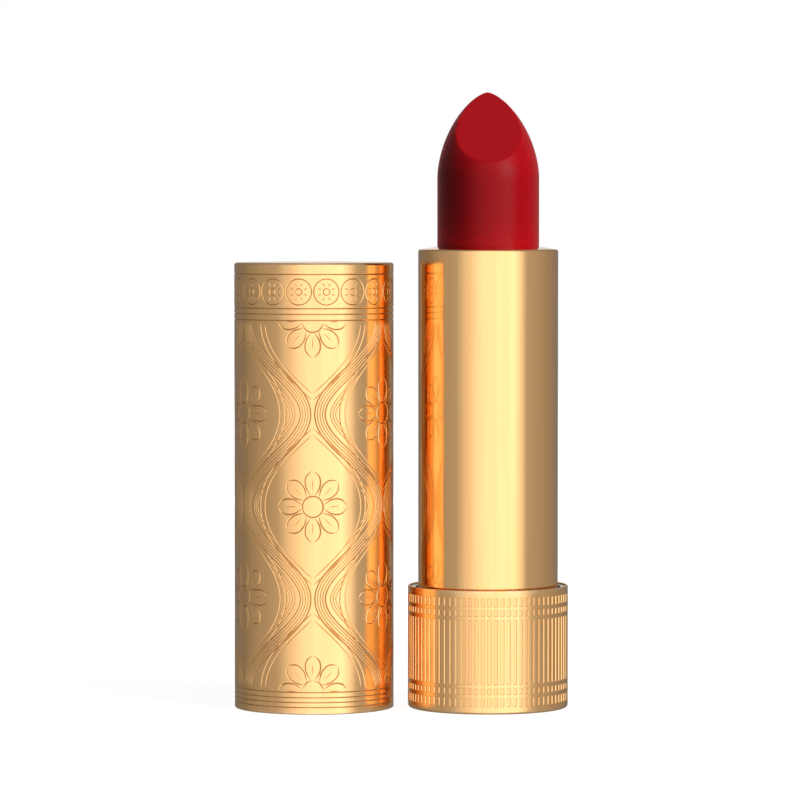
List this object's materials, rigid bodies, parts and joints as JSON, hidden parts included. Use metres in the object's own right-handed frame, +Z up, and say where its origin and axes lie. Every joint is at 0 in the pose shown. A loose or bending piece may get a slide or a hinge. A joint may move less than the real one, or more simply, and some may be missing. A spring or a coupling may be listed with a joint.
{
  "type": "lipstick case",
  "caption": "Twist-up lipstick in a fluted gold base with its bullet raised and, standing beside it, a tall engraved gold cap.",
  "frame": {"origin": "on the table, on the axis of the base, in the plane of the ring that the base stands on", "axes": "+Z up along the base's axis, -Y towards the slanted face of the bullet, -X towards the cap that stands beside the base"},
  "size_m": [0.0417, 0.02, 0.0769],
  "materials": {
    "gold_base": "satin",
    "gold_sleeve": "polished",
    "gold_cap": "satin, engraved",
    "collar_metal": "bright",
    "label_paper": "matt, blank",
    "slug_steel": "brushed",
    "insert_plastic": "moulded",
    "guide_plastic": "moulded",
    "spiral_plastic": "moulded",
    "brake_rubber": "soft",
    "cup_plastic": "moulded",
    "lip_colour": "satin wax",
    "liner_plastic": "moulded"
  },
  "bodies": {
    "base": {"base_shell": "gold_base", "shade_label": "label_paper", "base_weight": "slug_steel", "base_insert": "insert_plastic", "collar_ring": "collar_metal", "guide_tube": "guide_plastic", "brake_ring": "brake_rubber"},
    "sleeve": {"sleeve": "gold_sleeve", "spiral_tube": "spiral_plastic"},
    "carrier": {"bullet_cup": "cup_plastic", "lipstick_bullet": "lip_colour"},
    "cap": {"cap_shell": "gold_cap", "cap_liner": "liner_plastic", "cap_weight": "slug_steel"}
  },
  "joints": [
    {"name": "sleeve_twist", "type": "hinge", "parent": "base", "child": "sleeve", "pos_m": [0, 0, 0], "axis": [0, 0, 1], "range_deg": [0, 540]},
    {"name": "carrier_slide", "type": "slide", "parent": "base", "child": "carrier", "axis": [0, 0, 1], "range_m": [-0.0225, 0]},
    {"name": "cap_lift", "type": "slide", "parent": "base", "child": "cap", "axis": [0, 0, 1], "range_m": [0, 0.08]}
  ],
  "couplings": [
    {"joint": "carrier_slide", "follows": "sleeve_twist", "m_per_rad": -0.0023873}
  ]
}
